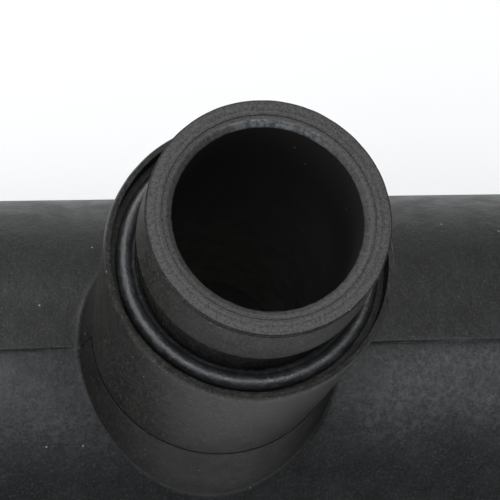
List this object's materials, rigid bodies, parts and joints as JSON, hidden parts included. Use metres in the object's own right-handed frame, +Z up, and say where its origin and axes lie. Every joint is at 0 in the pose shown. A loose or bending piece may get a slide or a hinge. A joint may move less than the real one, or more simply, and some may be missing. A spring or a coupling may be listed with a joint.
{
  "type": "barbed tee connector",
  "caption": "Reducing tee for thin-walled irrigation pipe: a round run body with a smaller branch, where each outlet is a flared barrel with a seal ring and a push-on nose.",
  "frame": {"origin": "where the axis of the run crosses the axis of the branch", "axes": "+X along the run, +Z up the branch towards its open end"},
  "size_m": [0.124, 0.04, 0.0752],
  "materials": {
    "body_plastic": "black polypropylene, matt as moulded",
    "spigot_plastic": "black polypropylene, matt as moulded",
    "seal_rubber": "black nitrile rubber, smooth and slightly glossy"
  },
  "bodies": {
    "root": {"tee_body": "body_plastic", "branch_spigot": "spigot_plastic", "left_spigot": "spigot_plastic", "right_spigot": "spigot_plastic", "branch_seal": "seal_rubber", "left_seal": "seal_rubber", "right_seal": "seal_rubber"}
  },
  "joints": []
}
